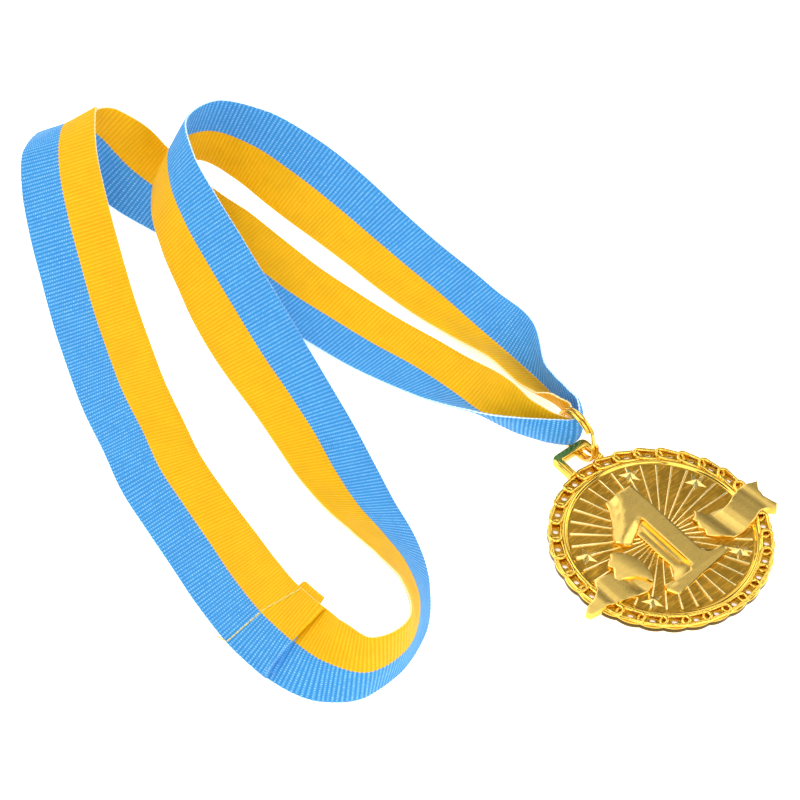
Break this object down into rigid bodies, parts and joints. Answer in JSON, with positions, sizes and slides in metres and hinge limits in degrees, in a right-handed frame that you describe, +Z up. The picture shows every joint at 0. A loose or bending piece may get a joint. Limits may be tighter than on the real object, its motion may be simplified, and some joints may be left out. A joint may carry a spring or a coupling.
{
  "type": "winner's medal on a neck ribbon",
  "caption": "Round cast award medal with a raised numeral over rays, stars and a banner, a chain rim and a square eye, hung by a split ring on a striped neck ribbon, lying flat.",
  "frame": {"origin": "on the surface that the medal lies on, under the centre of its disc", "axes": "+Z up out of the medal's front, +Y through the eye at its top, +X to the right of its numeral"},
  "size_m": [0.1578, 0.2575, 0.0326],
  "materials": {
    "medal": "gold-plated zinc casting, polished relief on a satin field",
    "split_ring": "gold-plated spring steel wire, polished",
    "ribbon": "ribbed woven polyester, one half sky blue and the other golden yellow"
  },
  "bodies": {
    "root": {"medal": "medal", "split_ring": "split_ring", "ribbon": "ribbon"}
  },
  "joints": []
}
